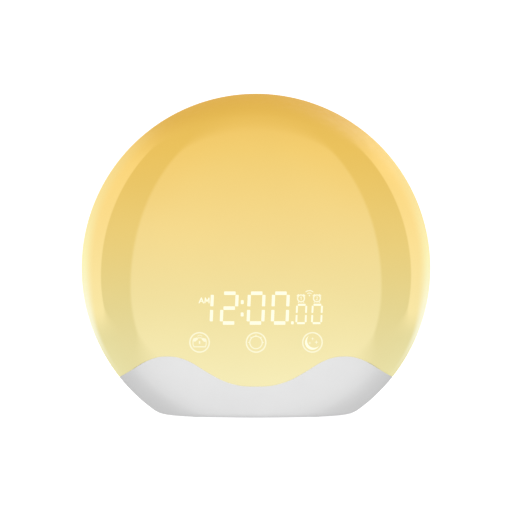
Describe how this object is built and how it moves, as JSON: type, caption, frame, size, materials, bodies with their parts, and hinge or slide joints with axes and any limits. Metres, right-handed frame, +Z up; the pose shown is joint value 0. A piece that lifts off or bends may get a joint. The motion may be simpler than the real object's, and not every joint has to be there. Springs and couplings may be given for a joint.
{
  "type": "sunrise alarm clock",
  "caption": "Round wake-up lamp and alarm clock: a translucent domed front with a digital display behind it, a white wave-edged base cover, and a speaker and buttons in the back.",
  "frame": {"origin": "bottom centre of the bounding box, on the surface that the feet stand on", "axes": "+X to the right seen from the front, +Y from the lit front to the back, +Z up"},
  "size_m": [0.2, 0.096, 0.1842],
  "materials": {
    "lamp_diffuser": "translucent opal, satin, lit warm from inside",
    "white_satin": "satin moulded",
    "white_matte": "fine moulded texture",
    "grey_matte": "fine moulded texture",
    "reflector_white": "white reflective",
    "board_white": "white solder mask",
    "board_green": "green solder mask",
    "led_warm": "phosphor dome",
    "led_colour": "clear dome",
    "display_black": "matte",
    "segments_lit": "lit",
    "display_film": "diffusing film",
    "spring_steel": "plated spring wire",
    "chip_black": "moulded epoxy",
    "shield_can": "tinned",
    "capacitor_sleeve": "shrink sleeve",
    "connector_cream": "nylon",
    "ribbon_white": "flat cable",
    "wire_red": "insulation",
    "wire_black": "insulation",
    "steel_black": "black coated steel",
    "ferrite": "ferrite and plated yoke",
    "paper_black": "pressed paper",
    "rubber_black": "matte",
    "spider_cloth": "impregnated cloth",
    "cloth_black": "acoustic cloth",
    "screw_zinc": "zinc plated",
    "button_white": "satin",
    "plunger_red": "moulded",
    "jack_black": "moulded",
    "plated": "nickel plated",
    "brass_contact": "gold flashed",
    "rubber_grey": "matte"
  },
  "bodies": {
    "root": {"front_diffuser": "lamp_diffuser", "wave_cover": "white_satin", "rear_housing": "white_matte", "base_plate": "grey_matte", "light_chassis": "reflector_white", "led_board": "board_white", "warm_leds": "led_warm", "colour_leds": "led_colour", "led_board_screws": "screw_zinc", "display_bracket": "reflector_white", "display_board": "board_green", "display_block": "display_black", "display_segments": "segments_lit", "display_film": "display_film", "display_screws": "screw_zinc", "touch_springs": "spring_steel", "main_board": "board_green", "board_chips": "chip_black", "wifi_module": "shield_can", "board_capacitors": "capacitor_sleeve", "board_connectors": "connector_cream", "main_board_screws": "screw_zinc", "ribbon_cables": "ribbon_white", "led_wires": "wire_red", "speaker_frame": "steel_black", "speaker_magnet": "ferrite", "speaker_surround": "rubber_black", "speaker_spider": "spider_cloth", "speaker_gasket": "rubber_black", "grille_cloth": "cloth_black", "speaker_screws": "screw_zinc", "speaker_wires": "wire_black", "button_board": "board_green", "switch_bodies": "chip_black", "button_board_screws": "screw_zinc", "dc_jack": "jack_black", "dc_jack_pin": "plated", "dc_jack_nut": "plated", "power_wires": "wire_red", "coin_cell": "plated", "battery_contact_top": "brass_contact", "battery_contact_side": "brass_contact", "rubber_feet": "rubber_grey", "housing_screws": "screw_zinc", "base_screws": "screw_zinc"},
    "alarm1": {"alarm1_button": "button_white", "alarm1_plunger": "plunger_red"},
    "alarm2": {"alarm2_button": "button_white", "alarm2_plunger": "plunger_red"},
    "clock": {"clock_button": "button_white", "clock_plunger": "plunger_red"},
    "volume_down": {"volume_down_button": "button_white", "volume_down_plunger": "plunger_red"},
    "volume_up": {"volume_up_button": "button_white", "volume_up_plunger": "plunger_red"},
    "sound": {"sound_button": "button_white", "sound_plunger": "plunger_red"},
    "battery_door": {"battery_door": "grey_matte"},
    "speaker_cone": {"speaker_cone": "paper_black"}
  },
  "joints": [
    {"name": "alarm1_press", "type": "slide", "parent": "root", "child": "alarm1", "axis": [0, -1, 0], "range_m": [0, 0.0005], "stiffness_N_per_m": 1500},
    {"name": "alarm2_press", "type": "slide", "parent": "root", "child": "alarm2", "axis": [0, -1, 0], "range_m": [0, 0.0005], "stiffness_N_per_m": 1500},
    {"name": "clock_press", "type": "slide", "parent": "root", "child": "clock", "axis": [0, -1, 0], "range_m": [0, 0.0005], "stiffness_N_per_m": 1500},
    {"name": "volume_down_press", "type": "slide", "parent": "root", "child": "volume_down", "axis": [0, -1, 0], "range_m": [0, 0.0005], "stiffness_N_per_m": 1500},
    {"name": "volume_up_press", "type": "slide", "parent": "root", "child": "volume_up", "axis": [0, -1, 0], "range_m": [0, 0.0005], "stiffness_N_per_m": 1500},
    {"name": "sound_press", "type": "slide", "parent": "root", "child": "sound", "axis": [0, -1, 0], "range_m": [0, 0.0005], "stiffness_N_per_m": 1500},
    {"name": "battery_door_hinge", "type": "hinge", "parent": "root", "child": "battery_door", "pos_m": [0, -0.0095, 0.0022], "axis": [-1, 0, 0], "range_deg": [0, 75]},
    {"name": "speaker_cone_travel", "type": "slide", "parent": "root", "child": "speaker_cone", "axis": [0, 1, 0], "range_m": [-0.001, 0.001], "stiffness_N_per_m": 1500, "deforming": ["speaker_surround", "speaker_spider"]}
  ]
}
